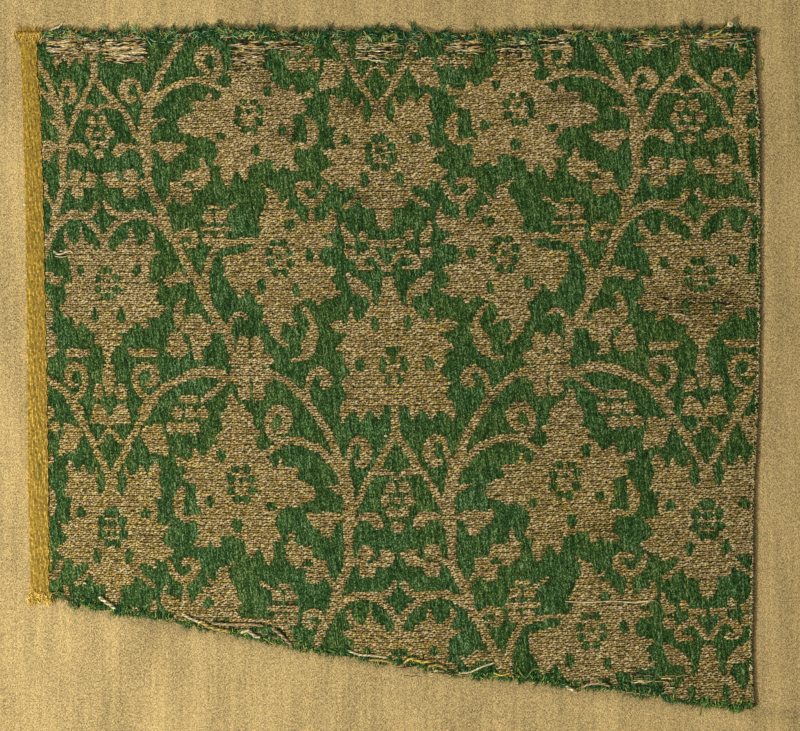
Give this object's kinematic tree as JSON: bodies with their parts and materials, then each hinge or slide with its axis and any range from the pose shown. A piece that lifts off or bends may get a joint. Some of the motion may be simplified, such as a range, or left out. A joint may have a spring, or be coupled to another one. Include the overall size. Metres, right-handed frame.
{
  "type": "framed lampas textile fragment on a linen-covered strainer",
  "caption": "Green and tan lampas-woven silk fragment with a yellow selvage, laid on linen stretched over a wooden strainer and held in a plain rebated wooden frame.",
  "frame": {"origin": "centre of the frame's underside, on the surface that it lies on", "axes": "+Z out of the textile's face, +Y towards the textile's upper edge, +X away from its selvage, along the frame's longer side"},
  "size_m": [0.25, 0.234, 0.0189],
  "materials": {
    "lampas_silk": "satin",
    "mount_linen": "matte plain weave",
    "strainer_wood": "planed, bare",
    "frame_wood": "waxed"
  },
  "bodies": {
    "root": {"lampas_fragment": "lampas_silk", "mount_linen": "mount_linen", "strainer_bar_top": "strainer_wood", "strainer_bar_bottom": "strainer_wood", "strainer_bar_left": "strainer_wood", "strainer_bar_right": "strainer_wood", "frame_rail_top": "frame_wood", "frame_rail_bottom": "frame_wood", "frame_rail_left": "frame_wood", "frame_rail_right": "frame_wood"}
  },
  "joints": []
}
